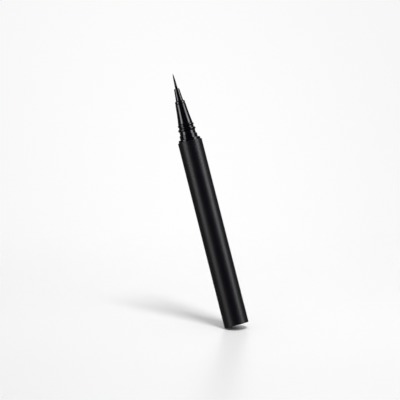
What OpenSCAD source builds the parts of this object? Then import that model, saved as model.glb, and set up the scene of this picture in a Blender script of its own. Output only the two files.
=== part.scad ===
// Liquid eyeliner pen with a brush tip, standing on its foot, cap off.
// The ink lies loose in a tank. A fibre core draws it through a finned collector to the brush.
// The axis is +Z, the origin is the centre of the foot, and all sizes are in millimetres.

/* [Barrel] */
// Length of the barrel, from its foot to its front rim
barrel_l = 80.65; // [70:0.05:95]
// Outer diameter at the foot
barrel_d = 10.6; // [10:0.1:13]
// How much slimmer the barrel is at its front rim than at its foot
barrel_draft = 0.2; // [0:0.05:0.4]
// Wall at the front rim
barrel_wall = 0.7; // [0.5:0.05:0.9]
// Bevel on the outer edge of the foot and of the front rim
barrel_edge = 0.25; // [0.1:0.05:0.5]

/* [Tail plug] */
// Thickness of the plug's head, which closes the foot
plug_head = 1.4; // [1:0.1:3]
// How far the head lies inside the foot, so that the pen stands on the barrel
plug_inset = 0.1; // [0.05:0.05:0.5]
// Length of the plug's spigot inside the tank
plug_spigot_l = 6.5; // [5:0.1:10]
// Width of the ring on the head that snaps into the barrel
snap_w = 0.5; // [0.3:0.05:0.8]
// Height of that ring
snap_h = 0.12; // [0.05:0.01:0.25]
// Depth of the blind hole that cores out the spigot
plug_core_depth = 4.5; // [2:0.1:4.8]

/* [Tank and seals] */
// Wall of the ink tank
tank_wall = 0.7; // [0.5:0.05:0.9]
// Thickness of the two rubber seal rings
seal_t = 0.7; // [0.5:0.05:0.9]
// Distance of each seal ring's centre from the end of the tank that it closes
seal_back = 3; // [2:0.1:4]
// How much longer each seal groove is than its ring is thick
seal_play = 0.2; // [0.1:0.05:0.4]

/* [Mixing ball] */
// Diameter of the steel ball that stirs the ink
ball_d = 4.5; // [3.5:0.1:5]

/* [Inner plug] */
// Thickness of the flange that closes the tank's front end
inner_flange = 1.2; // [0.8:0.1:2]
// Length of the stem that sits in the front section
inner_stem_l = 3; // [2:0.1:5]
// Height of the cage that keeps the ball off the end of the feed core
cage_h = 2.5; // [2:0.1:4]
// Outer diameter of the cage
cage_d = 4.6; // [4:0.1:5]
// Wall of the cage
cage_wall = 0.8; // [0.5:0.05:1]
// Width of each window in the cage
window_w = 1; // [0.6:0.1:1.4]
// Height of each window in the cage
window_h = 1.2; // [0.8:0.1:1.8]
// Diameter of the hole that lets ink and air past the core
channel_d = 0.5; // [0.3:0.05:0.6]

/* [Collector] */
// Thickness of one collector fin
fin_t = 0.35; // [0.25:0.05:0.5]
// Distance from one fin to the next
fin_pitch = 0.8; // [0.7:0.05:1.2]
// Outer diameter of the tube that carries the fins
hub_d = 3; // [2.8:0.1:3.4]
// Thickness of the solid disc at each end of the collector
disc_t = 1.2; // [0.8:0.1:2]
// Width of the ink slit that cuts the fins on one side
slit_w = 0.2; // [0.1:0.05:0.4]
// Width of the air groove that cuts the fins on the other side
air_w = 0.8; // [0.5:0.1:1.2]
// Depth of the socket in the collector's front end, which takes the feed tube
socket_depth = 2; // [1:0.1:4]

/* [Feed core and tube] */
// Diameter of the fibre core
core_d = 1.5; // [1.2:0.05:1.7]
// Bevel on the core's two ends
core_bevel = 0.2; // [0.1:0.05:0.4]
// How far the core's end stays back inside the cage
core_recess = 1; // [0.8:0.1:1.6]
// Wall of the tube round the core's front half
tube_wall = 0.31; // [0.2:0.01:0.4]

/* [Front section] */
// Length of the skirt inside the barrel
skirt_l = 25.5; // [23:0.5:32]
// Length of the spigot inside the tank
spigot_l = 6.5; // [5:0.1:10]
// Wall of the spigot under its seal groove
groove_floor = 0.4; // [0.3:0.05:0.6]
// How far the shoulder that stops the collector lies under the barrel's rim
shoulder_drop = 0.8; // [0.5:0.1:1.5]
// How far the lip that rests on the barrel's rim lies inside the rim's outer edge
lip_inset = 0.5; // [0.25:0.05:0.6]
// Height of the lip
lip_h = 1.05; // [0.6:0.05:2]
// Bevel on the lip's upper edge
lip_edge = 0.35; // [0.1:0.05:0.5]
// Diameter of the collar that the cap is pushed onto
collar_d = 7.64; // [7.2:0.02:8.4]
// Height of the collar
collar_h = 1.8; // [1.2:0.1:4]
// Bevel on the collar's upper edge
collar_edge = 0.2; // [0.1:0.05:0.4]
// Diameter of the neck between the collar and the lower bead
neck_d = 6.9; // [6.6:0.05:7.1]
// Height from the top of the collar to the crest of the lower bead
neck_h = 2.15; // [1.6:0.05:3]
// Diameter over the lower bead, which snaps into the cap
low_bead_d = 7.6; // [7.15:0.02:7.62]
// Height of the lower bead
low_bead_h = 1.2; // [0.8:0.1:1.5]
// Diameter at the bottom of the groove between the beads
groove_d = 6.46; // [6.3:0.02:6.6]
// Distance between the crests of the two beads
bead_pitch = 1.9; // [1.6:0.1:3]
// Diameter over the upper bead
high_bead_d = 6.92; // [6.7:0.02:7.1]
// Height of the upper bead
high_bead_h = 1.3; // [0.8:0.1:1.5]
// Height from the crest of the upper bead to the foot of the cone
cone_step = 1; // [0.9:0.05:1.5]
// Diameter at the foot of the cone
cone_base_d = 6.24; // [6:0.02:6.3]
// Diameter at the top of the cone
cone_top_d = 4.46; // [4.2:0.02:5]
// Length of the cone
cone_l = 8.45; // [7:0.05:12]
// How deep the cone's side curves in at its middle
cone_flare = 0.1; // [0.05:0.01:0.2]
// Wall that is left round the hollow inside the collar and the beads
hollow_wall = 1; // [0.8:0.05:1.1]

/* [Nozzle] */
// Length of the nozzle's spigot inside the cone
nozzle_spigot_l = 5.4; // [4:0.1:6]
// Diameter of that spigot
nozzle_spigot_d = 3.4; // [3.2:0.05:3.6]
// Diameter of the ring that shows at the top of the cone
ring_d = 4.38; // [4.1:0.02:5]
// Height of that ring
ring_h = 1.2; // [0.8:0.05:2]
// Bevel on the ring's upper edge
ring_edge = 0.3; // [0.1:0.05:0.4]
// Bevel on each side of the joint between the cone and the ring
joint_edge = 0.08; // [0.04:0.01:0.12]
// Diameter of the nozzle's tube where it leaves the ring
nozzle_base_d = 3.2; // [2.8:0.05:3.4]
// Diameter of the nozzle's tube at its mouth
nozzle_mouth_d = 2.3; // [2:0.02:2.6]
// Length of the nozzle's tube above the ring
nozzle_l = 5.3; // [4:0.1:8]
// Length over which the nozzle's spigot grips the feed tube
tube_grip = 1.6; // [1:0.1:2.5]

/* [Brush] */
// Diameter of the brush at the nozzle's mouth
brush_d = 1.2; // [0.8:0.02:1.3]
// Length of the brush outside the nozzle
brush_l = 6.6; // [5:0.05:9]
// Rows of strands from the middle of the brush to its edge
strand_rows = 8; // [8:1:9]
// Length of the flange at the root of the brush
root_flange_l = 1.6; // [1.2:0.1:2]
// Depth of the pocket in the flange that takes the end of the core
root_pocket = 0.8; // [0.4:0.1:0.9]
// Thickness of the slice of fused root that carries the strands
slice_t = 0.5; // [0.3:0.05:0.8]
// How far the strands start below the nozzle's mouth
strand_sink = 0.1; // [0.05:0.05:0.3]

/* [Fits] */
// Radial clearance between pieces that are pushed together
fit_gap = 0.04; // [0.02:0.01:0.06]
// Radial clearance of the seal rings, drawn relaxed
seal_gap = 0.01; // [0.005:0.005:0.02]
// Clearance of the ball on its seats, and of the core's end in its pocket
rest_gap = 0.05; // [0.03:0.01:0.1]

/* [Hidden] */
$fn = 96;

// Overrun of every cut past the face that it opens
overrun = 0.5;

// The ball's seats, as a share of its diameter
seat_share = 0.7;
// The inset of a strand in its cell, where its cone starts, how far the strands draw together
// towards the point, and how much shorter the outer ones are
strand_inset_share = 0.84;
strand_shoulder_share = 0.72;
gather_share = 0.66;
short_share = 0.36;
// The power with which the strands shorten towards the edge of the brush
short_power = 2.6;

// Radii, from the barrel inwards
barrel_foot_r = barrel_d / 2;
barrel_front_r = (barrel_d - barrel_draft) / 2;
bore_r = barrel_front_r - barrel_wall;
lip_r = barrel_front_r - lip_inset;
tank_r = bore_r - fit_gap;
tank_bore_r = tank_r - tank_wall;
spigot_r = tank_bore_r - fit_gap;
seal_groove_r = tank_bore_r - seal_t - 2 * seal_gap;
collector_bore_r = seal_groove_r - groove_floor;
fin_r = collector_bore_r - fit_gap;
core_r = core_d / 2;
core_bore_r = core_r + fit_gap;
tube_r = core_bore_r + tube_wall;
tube_socket_r = tube_r + fit_gap;
brush_r = brush_d / 2;
brush_bore_r = brush_r + fit_gap;
nozzle_spigot_r = nozzle_spigot_d / 2;
nozzle_socket_r = nozzle_spigot_r + fit_gap;
hollow_r = min(groove_d, cone_base_d) / 2 - hollow_wall;

// Heights, from the foot up
plug_top = plug_inset + plug_head;
plug_end = plug_top + plug_spigot_l;
tank_top = barrel_l - skirt_l;
tail_seal_z = plug_top + seal_back;
front_seal_z = tank_top - seal_back;
spigot_end = tank_top - spigot_l;
inner_back = spigot_end - inner_flange;
cage_end = inner_back - cage_h;
collector_back = spigot_end + inner_stem_l;
lip_top = barrel_l + lip_h;
collar_top = lip_top + collar_h;
low_bead_z = collar_top + neck_h;
high_bead_z = low_bead_z + bead_pitch;
cone_foot = high_bead_z + cone_step;
cone_top = cone_foot + cone_l;
ring_top = cone_top + ring_h;
mouth_z = ring_top + nozzle_l;
tip_z = mouth_z + brush_l;
nozzle_end = cone_top - nozzle_spigot_l;
root_back = nozzle_end + tube_grip;
root_seat = root_back + root_flange_l;
slice_top = mouth_z - strand_sink;
slice_back = slice_top - slice_t;

// The collector ends under the shoulder where the hollow of the front section starts
collector_front = barrel_l - shoulder_drop;
collector_l = collector_front - collector_back;
socket_back = collector_front - socket_depth;
// The hollow ends at the foot of the cone
hollow_top = cone_foot;

// The ball rests on the rim of the hole in the tail plug, and stops at the rim of the cage
ball_r = ball_d / 2;
ball_seat_r = ball_r * seat_share;
ball_rest_z = plug_end + seat_rise(ball_seat_r);
cage_bore_r = cage_d / 2 - cage_wall;
ball_stop_z = cage_end - seat_rise(cage_bore_r);
ball_travel = ball_stop_z - ball_rest_z;

// Height of the ball's centre over the rim of a round hole
function seat_rise(hole_r) = sqrt(pow(ball_r + rest_gap, 2) - pow(hole_r, 2));

echo(ball_rest_mm = ball_rest_z, ball_travel_mm = ball_travel, total_mm = tip_z);
echo(collar_mid_mm = (lip_top + collar_top - collar_edge) / 2, collar_len_mm = collar_h - collar_edge);

// A tube of revolution between two heights
module tube(outer_r, inner_r, low, high) {
    translate([0, 0, low])
        difference() {
            cylinder(r = outer_r, h = high - low);
            translate([0, 0, -overrun])
                cylinder(r = inner_r, h = high - low + 2 * overrun);
        }
}

// A hole along the axis, from one height to another
module hole(r, low, high) {
    translate([0, 0, low])
        cylinder(r = r, h = high - low);
}

// A seal ring, or the groove that it lies in when it is given the play
module seal_ring(z) {
    translate([0, 0, z])
        rotate_extrude()
            translate([tank_bore_r - seal_gap - seal_t / 2, 0])
                circle(d = seal_t);
}

module seal_groove(z) {
    groove_w = seal_t + seal_play;
    tube(tank_bore_r + overrun, seal_groove_r, z - groove_w / 2, z + groove_w / 2);
}

// The snap ring on the tail plug's head, and with a gap the groove for it in the barrel
module snap_profile(gap) {
    middle = plug_inset + plug_head / 2;
    half_w = snap_w / 2 + gap;
    polygon([
        [tank_r - gap - snap_h, middle - half_w - snap_h],
        [tank_r + snap_h + gap, middle - half_w + snap_h],
        [tank_r + snap_h + gap, middle + half_w - snap_h],
        [tank_r - gap - snap_h, middle + half_w + snap_h]
    ]);
}

module barrel() {
    color("#1b1b1c")
        rotate_extrude()
            difference() {
                polygon([
                    [bore_r, 0],
                    [barrel_foot_r - barrel_edge, 0],
                    [barrel_foot_r, barrel_edge],
                    [barrel_front_r, barrel_l - barrel_edge],
                    [barrel_front_r - barrel_edge, barrel_l],
                    [bore_r, barrel_l]
                ]);
                snap_profile(fit_gap);
            }
}

module tail_plug() {
    color("#1f1f20")
        difference() {
            union() {
                rotate_extrude()
                    union() {
                        translate([0, plug_inset])
                            square([tank_r, plug_head]);
                        snap_profile(0);
                    }
                hole(spigot_r, plug_inset, plug_end);
            }
            hole(ball_seat_r, plug_end - plug_core_depth, plug_end + overrun);
            seal_groove(tail_seal_z);
        }
}

module tail_seal() {
    color("#2a2a2b")
        seal_ring(tail_seal_z);
}

module ink_tank() {
    color("#d9dcdc")
        tube(tank_r, tank_bore_r, plug_top, tank_top);
}

module mixing_ball() {
    color("#c4c8cc")
        translate([0, 0, ball_rest_z])
            sphere(d = ball_d);
}

module inner_plug() {
    color("#eceae4")
        difference() {
            union() {
                hole(spigot_r, inner_back, spigot_end);
                hole(fin_r, spigot_end, collector_back);
                tube(cage_d / 2, cage_bore_r, cage_end, inner_back);
            }
            hole(core_bore_r, cage_end - overrun, collector_back + overrun);
            ink_channel(inner_back - overrun, collector_back + overrun);
            for (turn = [0, 90])
                rotate([0, 0, turn])
                    translate([-cage_d / 2 - overrun, -window_w / 2, inner_back - window_h])
                        cube([cage_d + 2 * overrun, window_w, window_h]);
        }
}

// The hole for ink and air meets the collector's slit, midway between the core and the fins' edge
module ink_channel(low, high) {
    translate([0, (core_bore_r + fin_r) / 2, 0])
        hole(channel_d / 2, low, high);
}

module front_seal() {
    color("#2a2a2b")
        seal_ring(front_seal_z);
}

// Outline of the collector, with the fins between its two end discs
module collector_profile() {
    room = collector_l - 2 * disc_t;
    fins = floor((room - fin_t) / fin_pitch);
    first_fin = collector_back + disc_t + (room - (fins - 1) * fin_pitch - fin_t) / 2;
    polygon(concat(
        [[core_bore_r, collector_back], [fin_r, collector_back], [fin_r, collector_back + disc_t]],
        [[hub_d / 2, collector_back + disc_t]],
        [
            for (i = [0:fins - 1], corner = [0:3])
                [
                    corner == 0 || corner == 3 ? hub_d / 2 : fin_r,
                    first_fin + i * fin_pitch + (corner < 2 ? 0 : fin_t)
                ]
        ],
        [[hub_d / 2, collector_front - disc_t], [fin_r, collector_front - disc_t]],
        [[fin_r, collector_front], [core_bore_r, collector_front]]
    ));
}

module collector() {
    color("#e6e3da")
        difference() {
            rotate_extrude()
                collector_profile();
            hole(tube_socket_r, socket_back, collector_front + overrun);
            translate([-slit_w / 2, 0, collector_back - overrun])
                cube([slit_w, fin_r + overrun, collector_l - disc_t + overrun]);
            translate([-air_w / 2, -fin_r - overrun, collector_back + disc_t])
                cube([air_w, fin_r + overrun - hub_d / 2, collector_l]);
        }
}

module feed_core() {
    back = cage_end + core_recess;
    front = root_back + root_pocket - rest_gap;
    color("#f1efe8")
        rotate_extrude()
            polygon([
                [0, back],
                [core_r - core_bevel, back],
                [core_r, back + core_bevel],
                [core_r, front - core_bevel],
                [core_r - core_bevel, front],
                [0, front]
            ]);
}

module feed_tube() {
    color("#dfe3e6")
        tube(tube_r, core_bore_r, socket_back, root_back);
}

// Half section of a rounded bead that stands out to a given diameter
module bead_profile(d, h, z) {
    translate([d / 2 - h / 2, z])
        circle(d = h);
}

// Half section of the cone, whose side is an arc that curves in by the flare
module cone_profile() {
    base_r = cone_base_d / 2;
    top_r = cone_top_d / 2;
    lean = atan2(base_r - top_r, cone_l);
    chord = norm([base_r - top_r, cone_l]);
    arc_r = (pow(chord / 2, 2) + pow(cone_flare, 2)) / (2 * cone_flare);
    off = arc_r - cone_flare;
    difference() {
        translate([0, cone_foot - overrun])
            square([base_r + overrun, cone_l + overrun]);
        translate([(base_r + top_r) / 2 + off * cos(lean), cone_foot + cone_l / 2 + off * sin(lean)])
            circle(r = arc_r, $fn = 720);
        translate([top_r - joint_edge, cone_top])
            rotate([0, 0, -45])
                square(2 * overrun);
    }
}

// Half section of the outside of the front section, from the skirt's spigot to the cone
module front_profile() {
    polygon([
        [0, spigot_end],
        [spigot_r, spigot_end],
        [spigot_r, tank_top],
        [tank_r, tank_top],
        [tank_r, barrel_l],
        [lip_r, barrel_l],
        [lip_r, lip_top - lip_edge],
        [lip_r - lip_edge, lip_top],
        [collar_d / 2, lip_top],
        [collar_d / 2, collar_top - collar_edge],
        [collar_d / 2 - collar_edge, collar_top],
        [neck_d / 2, collar_top],
        [neck_d / 2, low_bead_z],
        [groove_d / 2, low_bead_z],
        [groove_d / 2, high_bead_z],
        [cone_base_d / 2, high_bead_z],
        [cone_base_d / 2, cone_foot],
        [0, cone_foot]
    ]);
    bead_profile(low_bead_d, low_bead_h, low_bead_z);
    bead_profile(high_bead_d, high_bead_h, high_bead_z);
    cone_profile();
}

module front_section() {
    color("#101011")
        difference() {
            rotate_extrude()
                front_profile();
            hole(collector_bore_r, spigot_end - overrun, collector_front);
            hole(hollow_r, collector_front - overrun, hollow_top);
            hole(tube_socket_r, hollow_top - overrun, nozzle_end);
            hole(nozzle_socket_r, nozzle_end, cone_top + overrun);
            seal_groove(front_seal_z);
        }
}

// Half section of the nozzle's outside, with a full round at its mouth
module nozzle_profile() {
    mouth_wall = nozzle_mouth_d / 2 - brush_bore_r;
    polygon([
        [0, nozzle_end],
        [nozzle_spigot_r, nozzle_end],
        [nozzle_spigot_r, cone_top],
        [ring_d / 2 - joint_edge, cone_top],
        [ring_d / 2, cone_top + joint_edge],
        [ring_d / 2, ring_top - ring_edge],
        [ring_d / 2 - ring_edge, ring_top],
        [nozzle_base_d / 2, ring_top],
        [nozzle_mouth_d / 2, mouth_z - mouth_wall / 2],
        [0, mouth_z - mouth_wall / 2]
    ]);
    translate([brush_bore_r + mouth_wall / 2, mouth_z - mouth_wall / 2])
        circle(d = mouth_wall);
}

module nozzle() {
    color("#121213")
        difference() {
            rotate_extrude()
                nozzle_profile();
            hole(tube_socket_r, nozzle_end - overrun, root_seat);
            hole(brush_bore_r, root_seat - overrun, mouth_z + overrun);
        }
}

module brush_root() {
    color("#191919")
        difference() {
            union() {
                hole(tube_r, root_back, root_seat);
                hole(brush_r, root_back, slice_back);
            }
            hole(core_bore_r, root_back - overrun, root_back + root_pocket);
        }
}

// The brush is one closed skin. Its root slice is divided into triangular cells by rings of points,
// and a three sided strand stands on each cell, a little smaller than the cell.
function ring_start(k) = k == 0 ? 0 : 1 + 3 * k * (k - 1);
function ring_point(k, j) = k == 0 ? 0 : ring_start(k) + j % (6 * k);
function spot(k, j) = k == 0 ? [0, 0] : brush_r * k / strand_rows * [cos(60 * j / k), sin(60 * j / k)];
lattice = [for (k = [0:strand_rows], j = [0:max(0, 6 * k - 1)]) spot(k, j)];
cells = [
    for (k = [1:strand_rows], side = [0:5], i = [0:k - 1], inward = [0, 1])
        if (inward == 0 || i > 0)
            inward == 0
                ? [
                    ring_point(k, side * k + i),
                    ring_point(k, side * k + i + 1),
                    ring_point(k - 1, side * (k - 1) + i)
                ]
                : [
                    ring_point(k - 1, side * (k - 1) + i),
                    ring_point(k - 1, side * (k - 1) + i - 1),
                    ring_point(k, side * k + i)
                ]
];
function middle(cell) = (lattice[cell[0]] + lattice[cell[1]] + lattice[cell[2]]) / 3;
function gather(u) = 1 - gather_share * u;
function reach(cell) = 1 - short_share * pow(norm(middle(cell)) / brush_r, short_power);
// One corner of a strand at the share u of the brush's length
function strand_corner(cell, i, u) =
    let (m = middle(cell), flat = m + strand_inset_share * (lattice[cell[i]] - m))
        [flat[0] * gather(u), flat[1] * gather(u), slice_top + u * (tip_z - slice_top)];
function strand_point(cell) =
    let (u = reach(cell), m = middle(cell) * gather(u))
        [m[0], m[1], slice_top + u * (tip_z - slice_top)];
function strand_points(cell) = concat(
    [for (i = [0:2]) strand_corner(cell, i, 0)],
    [for (i = [0:2]) strand_corner(cell, i, strand_shoulder_share * reach(cell))],
    [strand_point(cell)]
);
// Faces round one strand, whose own points start at b
function strand_faces(cell, b) = [
    for (i = [0:2])
        let (n = (i + 1) % 3)
            each [
                [cell[i], b + n, cell[n]],
                [cell[i], b + i, b + n],
                [b + i, b + 3 + n, b + n],
                [b + i, b + 3 + i, b + 3 + n],
                [b + 3 + i, b + 6, b + 3 + n]
            ]
];

module brush() {
    top_count = len(lattice);
    rim = 6 * strand_rows;
    rim_start = ring_start(strand_rows);
    low_start = top_count + 7 * len(cells);
    points = concat(
        [for (p = lattice) [p[0], p[1], slice_top]],
        [for (cell = cells) each strand_points(cell)],
        [for (j = [0:rim - 1]) let (p = lattice[rim_start + j]) [p[0], p[1], slice_back]],
        [[0, 0, slice_back]]
    );
    faces = concat(
        [for (c = [0:len(cells) - 1]) each strand_faces(cells[c], top_count + 7 * c)],
        [
            for (j = [0:rim - 1])
                let (n = (j + 1) % rim)
                    each [
                        [rim_start + j, rim_start + n, low_start + n],
                        [rim_start + j, low_start + n, low_start + j],
                        [low_start + j, low_start + n, low_start + rim]
                    ]
        ]
    );
    color("#0c0c0c")
        polyhedron(points, faces, convexity = 10);
}

barrel();
tail_plug();
tail_seal();
ink_tank();
mixing_ball();
inner_plug();
front_seal();
collector();
feed_core();
feed_tube();
front_section();
nozzle();
brush_root();
brush();
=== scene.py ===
# %% [markdown]
# # A liquid eyeliner pen, cap off
#
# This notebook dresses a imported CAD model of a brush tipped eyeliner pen. The CAD model brings every
# piece in its place and never moves. What the eye sees from outside is modelled again here with rounded
# edges, and the pieces inside the barrel keep their CAD shape and get a real finish.
#
# Everything is in metres. The pen stands upright on the origin with its axis along Z, and the camera
# leans instead of the pen.

import math
import random

import bmesh
import bpy
from mathutils import Matrix, Vector


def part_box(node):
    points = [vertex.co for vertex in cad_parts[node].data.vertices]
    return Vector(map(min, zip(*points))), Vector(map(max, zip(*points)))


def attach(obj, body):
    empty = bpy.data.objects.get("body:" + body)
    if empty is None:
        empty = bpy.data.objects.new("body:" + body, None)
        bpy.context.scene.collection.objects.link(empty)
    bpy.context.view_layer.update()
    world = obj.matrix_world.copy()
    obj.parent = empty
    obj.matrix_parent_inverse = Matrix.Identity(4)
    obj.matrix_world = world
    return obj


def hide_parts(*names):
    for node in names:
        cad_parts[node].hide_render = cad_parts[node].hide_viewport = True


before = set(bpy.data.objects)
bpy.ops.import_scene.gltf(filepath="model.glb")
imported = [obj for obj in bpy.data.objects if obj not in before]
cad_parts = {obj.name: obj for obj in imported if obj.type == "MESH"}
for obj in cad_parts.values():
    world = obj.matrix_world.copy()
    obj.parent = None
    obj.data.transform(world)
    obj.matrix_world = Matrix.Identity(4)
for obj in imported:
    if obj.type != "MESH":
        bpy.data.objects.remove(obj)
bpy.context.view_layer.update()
MM = 0.001

# %% [markdown]
# ## Camera
#
# In the photograph the pen leans to the left, balanced on the edge of its foot. The model stays upright,
# so the camera is rolled by the same angle. A camera could also be aimed with a Track To constraint, but
# three plain axes say exactly what it does, and the floor and the lamps can use the same axes.
#
# The rings of the pen look almost straight in the picture, so the camera is far away, with a long lens.

# %% Aim the camera
LEAN = math.radians(14.27)
PIXEL = 0.425 * MM
PICTURE_SIDE = 400
CAMERA_DISTANCE = 1.0
SENSOR = 36.0
AIM = Vector((-1.985, 0, 55.2)) * MM

picture_right = Vector((math.cos(LEAN), 0, -math.sin(LEAN)))
picture_up = Vector((math.sin(LEAN), 0, math.cos(LEAN)))
to_camera = Vector((0, -1, 0))

camera_data = bpy.data.cameras.new("camera")
camera_data.sensor_width = SENSOR
camera_data.lens = SENSOR * CAMERA_DISTANCE / (PICTURE_SIDE * PIXEL)
camera = bpy.data.objects.new("camera", camera_data)
bpy.context.scene.collection.objects.link(camera)
axes = Matrix((picture_right, picture_up, to_camera)).transposed().to_4x4()
camera.matrix_world = Matrix.Translation(AIM + to_camera * CAMERA_DISTANCE) @ axes
bpy.context.scene.camera = camera
bpy.context.scene.view_settings.view_transform = "Standard"
print("lens in mm:", round(camera_data.lens, 1))

# %% [markdown]
# ## Tools for turned pieces
#
# Almost every piece of a pen is round, so it is drawn as half of its section and spun about the axis, as
# on a lathe. A stack of cylinders would be quicker, but it would leave seams and no round edges.
#
# The section is a wire in the XZ plane. Straight runs extrude the last vertex, arcs spin it, and corners
# are rounded with a vertex bevel. A full spin with use_merge closes the skin.
#
# The whole skin is shaded smooth. A long face beside a rounded edge would then be shaded as if it were
# curved too, and the highlights on it would bend. So each straight run gets a point close to each of its
# bends, and stays flat in between. A Weighted Normal modifier is the usual way, but it judges faces by
# their area in square metres, and those of a pen are too small for it.

# %% Outline tools
def start_outline(r, z):
    """A new wire with its first point, in millimetres. It keeps the corners that will be rounded."""
    wire = bmesh.new()
    first = wire.verts.new((r * MM, 0, z * MM))
    return {"wire": wire, "first": first, "last": first, "corners": []}


def line_to(outline, r, z, rounding=0):
    """A straight run to the next corner, which may be rounded by some millimetres."""
    grown = bmesh.ops.extrude_vert_indiv(outline["wire"], verts=[outline["last"]])
    outline["last"] = grown["verts"][0]
    outline["last"].co = (r * MM, 0, z * MM)
    if rounding:
        outline["corners"].append((outline["last"], rounding * MM))


def arc_to(outline, r, z, centre_r, centre_z, steps):
    """The shorter arc from the last point to the next one, about a centre in the section."""
    centre = Vector((centre_r * MM, 0, centre_z * MM))
    start = outline["last"].co - centre
    end = Vector((r * MM, 0, z * MM)) - centre
    turn = math.atan2(end.z, end.x) - math.atan2(start.z, start.x)
    turn = (turn + math.pi) % (2 * math.pi) - math.pi
    swept = bmesh.ops.spin(
        outline["wire"], geom=[outline["last"]], cent=centre, axis=(0, 1, 0), dvec=(0, 0, 0),
        angle=-turn, steps=steps, use_duplicate=False,
    )
    ends = [part for part in swept["geom_last"] if isinstance(part, bmesh.types.BMVert)]
    outline["last"] = ends[0]


# %% Lathe
HOLD = 0.04 * MM
SHARP_BEND = math.radians(2)
CORNER_STEPS = 4
MERGE = 0.0001 * MM


def bend_at(point):
    """How much the wire turns at a point. The two ends of an open wire don't turn."""
    ways = [edge.other_vert(point).co - point.co for edge in point.link_edges]
    return math.pi - ways[0].angle(ways[1]) if len(ways) == 2 else 0


def hold_straight_runs(wire):
    """Puts a point close to each bend on a straight run, so that the run is shaded flat between them."""
    runs = [edge for edge in wire.edges if edge.calc_length() > 4 * HOLD]
    for run in runs:
        for end in [point for point in run.verts if bend_at(point) > SHARP_BEND]:
            point = bmesh.utils.edge_split(run, end, HOLD / run.calc_length())[1]
            run = max(point.link_edges, key=lambda edge: edge.calc_length())


def turn_outline(outline, closed, steps):
    """Rounds the corners, spins the wire about the axis and gives back one closed skin."""
    wire = outline["wire"]
    if closed:
        wire.edges.new((outline["last"], outline["first"]))
    for corner, rounding in outline["corners"]:
        bmesh.ops.bevel(
            wire, geom=[corner], offset=rounding, offset_type="OFFSET", segments=CORNER_STEPS,
            profile=0.5, affect="VERTICES", clamp_overlap=True, material=-1,
        )
    hold_straight_runs(wire)
    bmesh.ops.spin(
        wire, geom=wire.verts[:] + wire.edges[:], cent=(0, 0, 0), axis=(0, 0, 1), dvec=(0, 0, 0),
        angle=2 * math.pi, steps=steps, use_merge=True, use_duplicate=False,
    )
    bmesh.ops.remove_doubles(wire, verts=wire.verts[:], dist=MERGE)
    bmesh.ops.recalc_face_normals(wire, faces=wire.faces[:])
    return wire


# %% Finishing a piece
def finish_piece(name, skin, material, body="pen", stands_for=None):
    """Makes the object, smooths it, gives it its finish and its body, and hides the CAD node that it
    stands for.
    """
    open_edges = sum(1 for edge in skin.edges if len(edge.link_faces) != 2)
    mesh = bpy.data.meshes.new(name)
    skin.to_mesh(mesh)
    skin.free()
    mesh.shade_smooth()
    mesh.materials.append(material)
    piece = bpy.data.objects.new(name, mesh)
    bpy.context.scene.collection.objects.link(piece)
    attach(piece, body)
    if stands_for:
        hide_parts(stands_for)
    print(name, "faces:", len(mesh.polygons), "open edges:", open_edges)
    return piece


# %% [markdown]
# ## Tools for finishes
#
# Every finish is a node tree that is written by hand. Small helpers keep that readable: one adds a node
# with its inputs, and one starts a node group, which is an effect that several finishes share.
#
# All patterns read Object coordinates. These are metres here, so a scale of 1000 repeats each millimetre.

# %% Node helpers
def feed(tree, socket, value):
    """Sets a socket, or links it when the value is another socket."""
    if isinstance(value, bpy.types.NodeSocket):
        tree.links.new(value, socket)
    else:
        socket.default_value = value


def add_node(tree, kind, inputs=None, **settings):
    """Adds one shader node with its settings and its inputs by name or number."""
    made = tree.nodes.new("ShaderNode" + kind)
    for name, value in settings.items():
        setattr(made, name, value)
    for key, value in (inputs or {}).items():
        feed(tree, made.inputs[key], value)
    return made


def calculate(tree, operation, first, second=0.0):
    """One Math node's result."""
    return add_node(tree, "Math", {0: first, 1: second}, operation=operation).outputs[0]


# %% Ranges, colours and noise
def spread(tree, value, low, high, to_low=0.0, to_high=1.0):
    """Maps a value from one range to another, smoothly at both ends."""
    sockets = {"Value": value, "From Min": low, "From Max": high, "To Min": to_low, "To Max": to_high}
    return add_node(tree, "MapRange", sockets, interpolation_type="SMOOTHSTEP").outputs[0]


def distance_along(tree, place, direction):
    """How far a place lies along a direction of length one."""
    made = add_node(tree, "VectorMath", {0: place, 1: direction}, operation="DOT_PRODUCT")
    return made.outputs["Value"]


def mix_colours(tree, share, first, second):
    """A colour between two others."""
    made = add_node(tree, "Mix", {0: share, 6: first, 7: second}, data_type="RGBA")
    return made.outputs[2]


def object_noise(tree, scale, detail=2.0, distortion=0.0, squeeze=1.0):
    """Noise in a piece's own space. A squeeze below one draws it out along the pen."""
    where = add_node(tree, "TexCoord").outputs["Object"]
    factors = add_node(tree, "CombineXYZ", {"X": 1.0, "Y": 1.0, "Z": squeeze}).outputs[0]
    place = add_node(tree, "Mapping", {"Vector": where, "Scale": factors}).outputs[0]
    inputs = {"Vector": place, "Scale": scale, "Detail": detail, "Distortion": distortion}
    return add_node(tree, "TexNoise", inputs).outputs[0]


# %% Node group helpers
def start_group(name, inputs, outputs):
    """A new node group. Inputs are given with their defaults, outputs with their kinds."""
    group = bpy.data.node_groups.new(name, "ShaderNodeTree")
    for title, default in inputs.items():
        socket = group.interface.new_socket(name=title, in_out="INPUT", socket_type="NodeSocketFloat")
        socket.default_value = default
    for title, kind in outputs.items():
        group.interface.new_socket(name=title, in_out="OUTPUT", socket_type="NodeSocket" + kind)
    return group, group.nodes.new("NodeGroupInput").outputs, group.nodes.new("NodeGroupOutput").inputs


def use_group(tree, group, inputs=None):
    """Places a group in a finish and gives back its outputs."""
    made = tree.nodes.new("ShaderNodeGroup")
    made.node_tree = group
    for title, value in (inputs or {}).items():
        feed(tree, made.inputs[title], value)
    return made.outputs


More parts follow.
